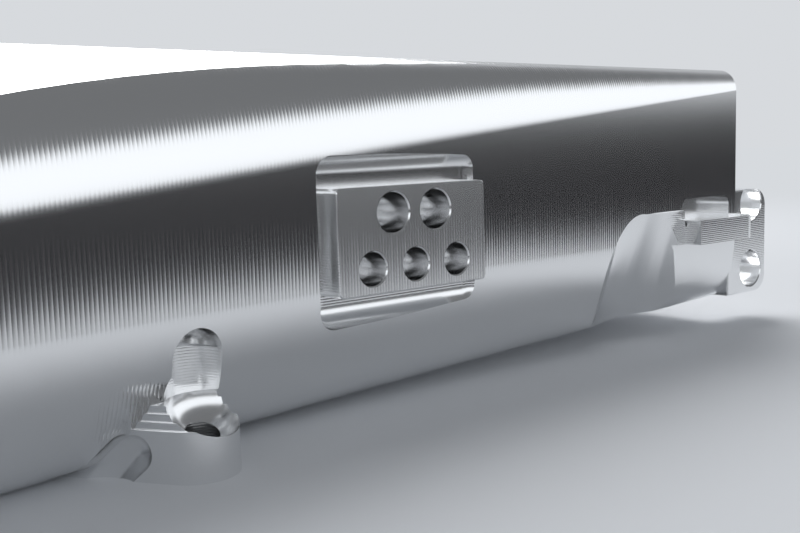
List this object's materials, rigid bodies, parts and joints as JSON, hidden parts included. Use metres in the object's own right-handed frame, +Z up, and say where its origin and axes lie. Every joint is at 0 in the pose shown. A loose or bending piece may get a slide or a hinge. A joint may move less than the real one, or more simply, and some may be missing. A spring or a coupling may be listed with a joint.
{
  "type": "machined aluminium housing",
  "caption": "Housing milled from solid aluminium with bulged flanks, a ported pad, bolt-down lugs and an open pocketed underside.",
  "frame": {"origin": "centre of the sealing face that the housing is bolted down on", "axes": "+Z up out of the sealing face, +X from the deep tail end to the slim nose end, -Y towards the flank with the port pad"},
  "size_m": [0.417, 0.248, 0.109],
  "materials": {
    "aluminium": "milled, bright, with fine tool lines"
  },
  "bodies": {
    "root": {"milled_housing": "aluminium"}
  },
  "joints": []
}
